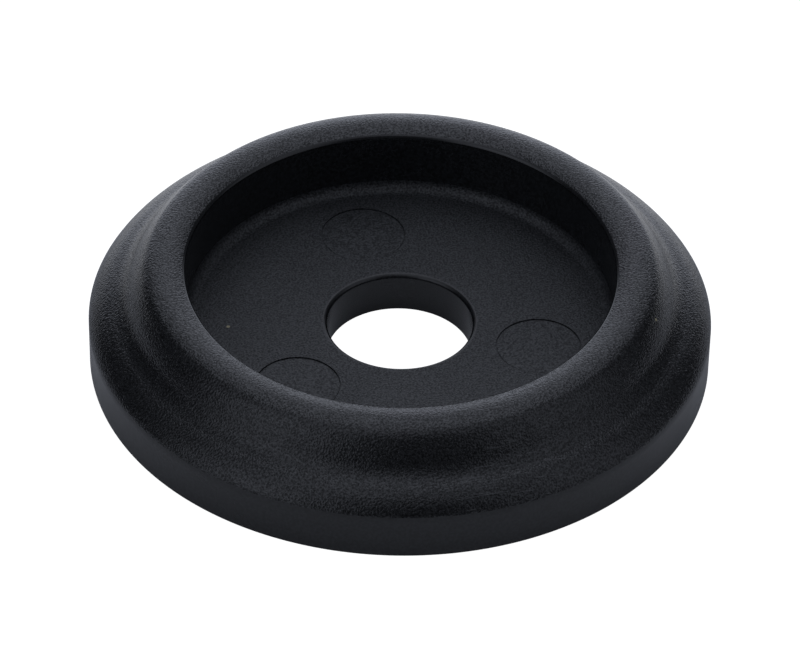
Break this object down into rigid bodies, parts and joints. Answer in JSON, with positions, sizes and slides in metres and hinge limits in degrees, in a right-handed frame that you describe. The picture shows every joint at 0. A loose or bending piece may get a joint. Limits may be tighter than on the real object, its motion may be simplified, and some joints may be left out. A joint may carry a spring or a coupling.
{
  "type": "toilet flange",
  "caption": "Round base flange in moulded black plastic: a shallow cup with a crowned rim, a central bolt hole and a sloping outer shoulder.",
  "frame": {"origin": "on the axis of the bolt hole, in the plane of the base face", "axes": "+Z along the bolt hole, out of the open side of the cup; +Y through one of the three ejector pin marks in the cup floor"},
  "size_m": [0.06, 0.06, 0.011],
  "materials": {
    "black_nylon": "fine spark-eroded grain on the top side, smooth satin band, cup wall and bolt hole"
  },
  "bodies": {
    "root": {"flange_body": "black_nylon"}
  },
  "joints": []
}
